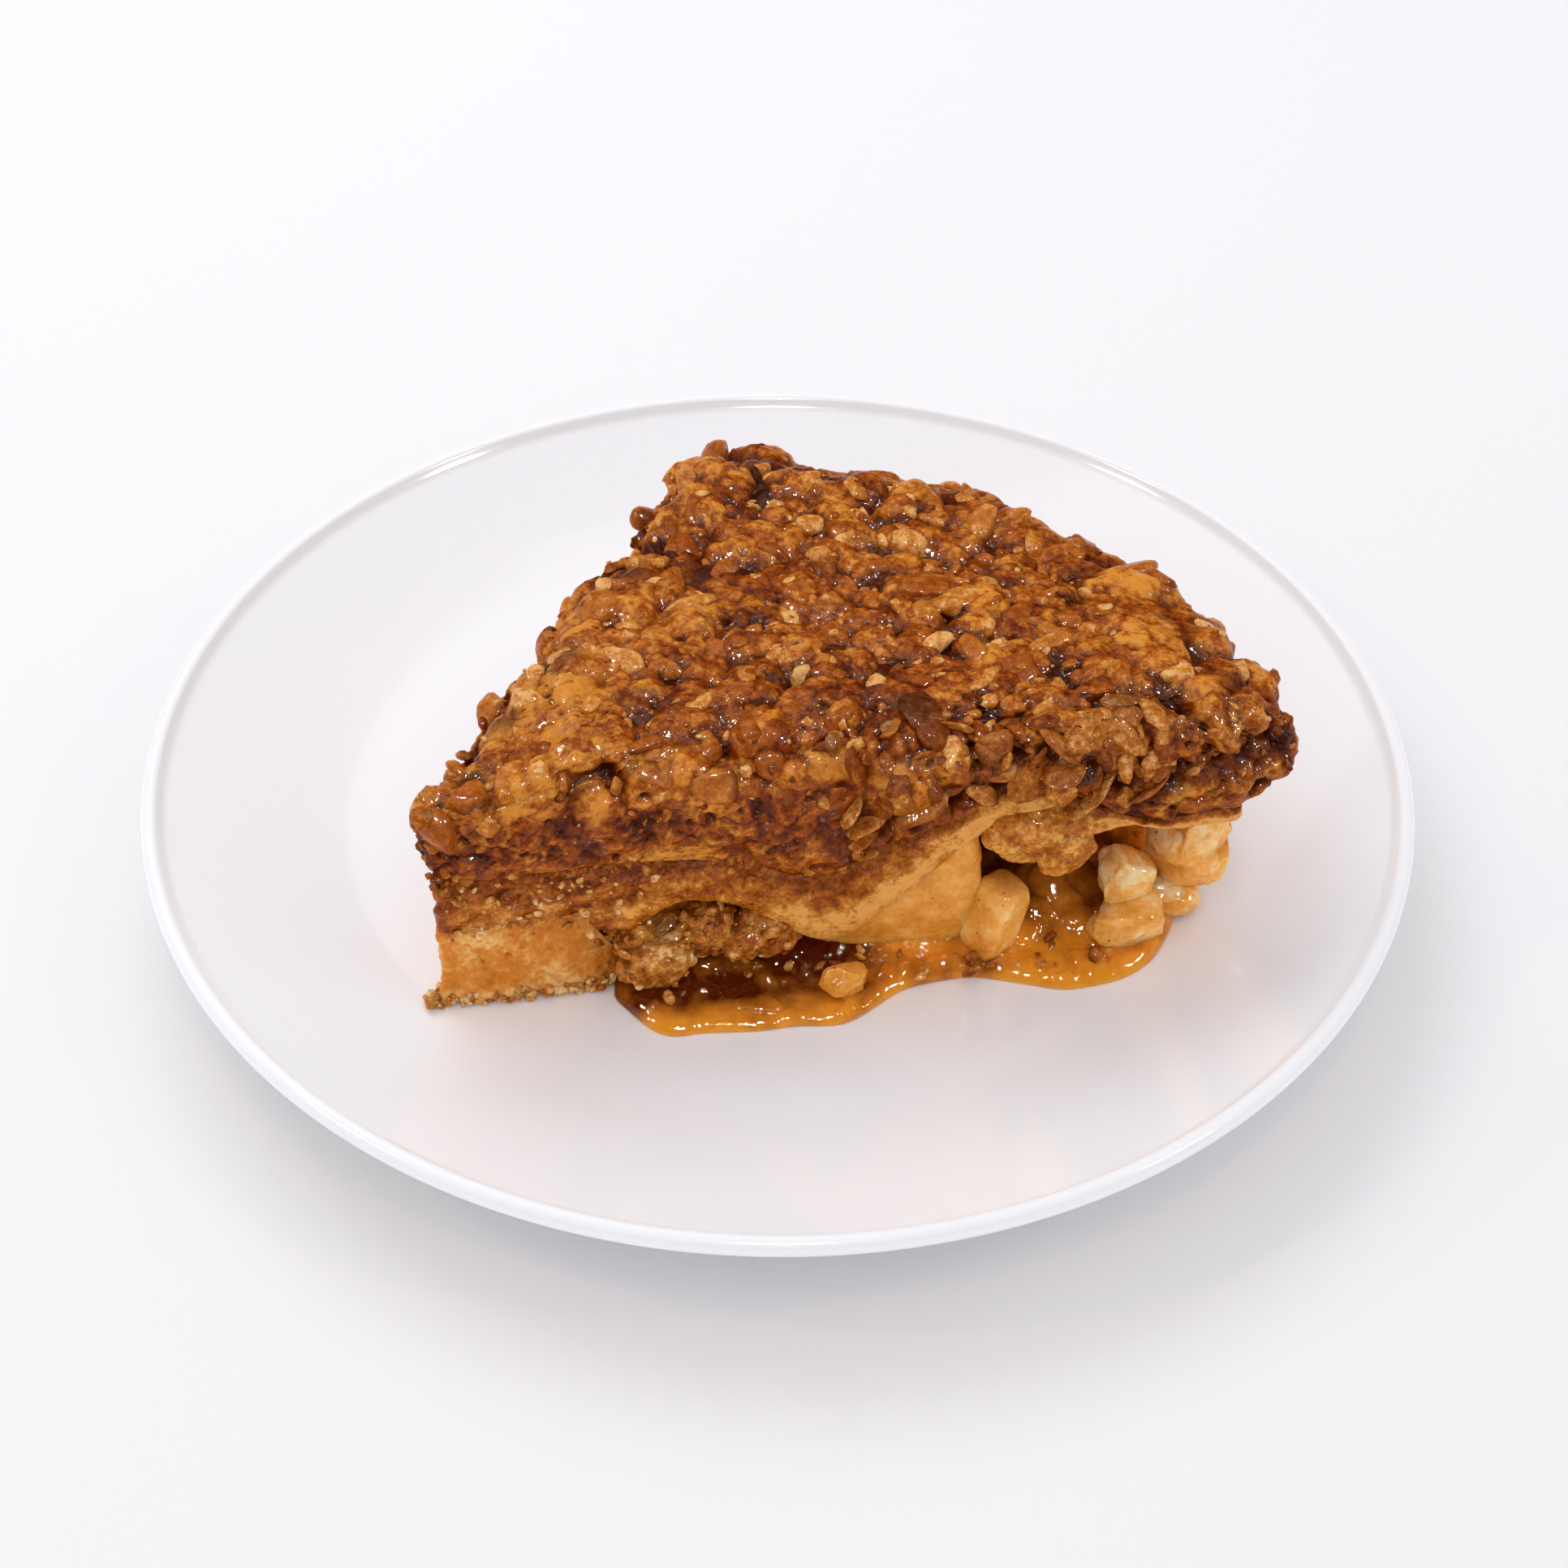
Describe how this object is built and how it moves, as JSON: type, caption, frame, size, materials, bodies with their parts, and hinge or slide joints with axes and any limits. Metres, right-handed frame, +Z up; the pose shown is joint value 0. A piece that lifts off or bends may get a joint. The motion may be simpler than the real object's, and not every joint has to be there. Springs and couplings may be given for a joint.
{
  "type": "slice of apple pie on a plate",
  "caption": "Deep wedge of apple pie with a caramelised nut topping, apple pieces showing in its cuts and syrup run out on a white coupe plate.",
  "frame": {"origin": "centre of the plate's foot ring, on the table", "axes": "+Z up; +Y away from the front cut's side of the plate; +X to the right of that side"},
  "size_m": [0.2, 0.2, 0.0558],
  "materials": {
    "porcelain": "gloss",
    "pale_crust": "matte",
    "soft_pastry": "matte",
    "nut_topping": "satin",
    "cooked_filling": "satin",
    "apple_flesh": "satin",
    "syrup": "gloss",
    "crumbled_pastry": "matte"
  },
  "bodies": {
    "root": {"plate": "porcelain", "crust": "pale_crust", "apple_filling": "cooked_filling", "soft_pastry": "soft_pastry", "nut_topping": "nut_topping", "syrup": "syrup", "apple_slice": "apple_flesh", "apple_wedge_small": "apple_flesh", "apple_cube": "apple_flesh", "apple_chunk_low": "apple_flesh", "apple_chunk_right": "apple_flesh", "apple_chunk_foot": "apple_flesh", "apple_bit_in_syrup": "apple_flesh", "apple_left_1": "apple_flesh", "apple_left_2": "apple_flesh", "apple_left_3": "apple_flesh", "apple_left_4": "apple_flesh", "pastry_lump_large": "crumbled_pastry", "pastry_lump_small": "crumbled_pastry", "pastry_crumbs": "crumbled_pastry"}
  },
  "joints": []
}
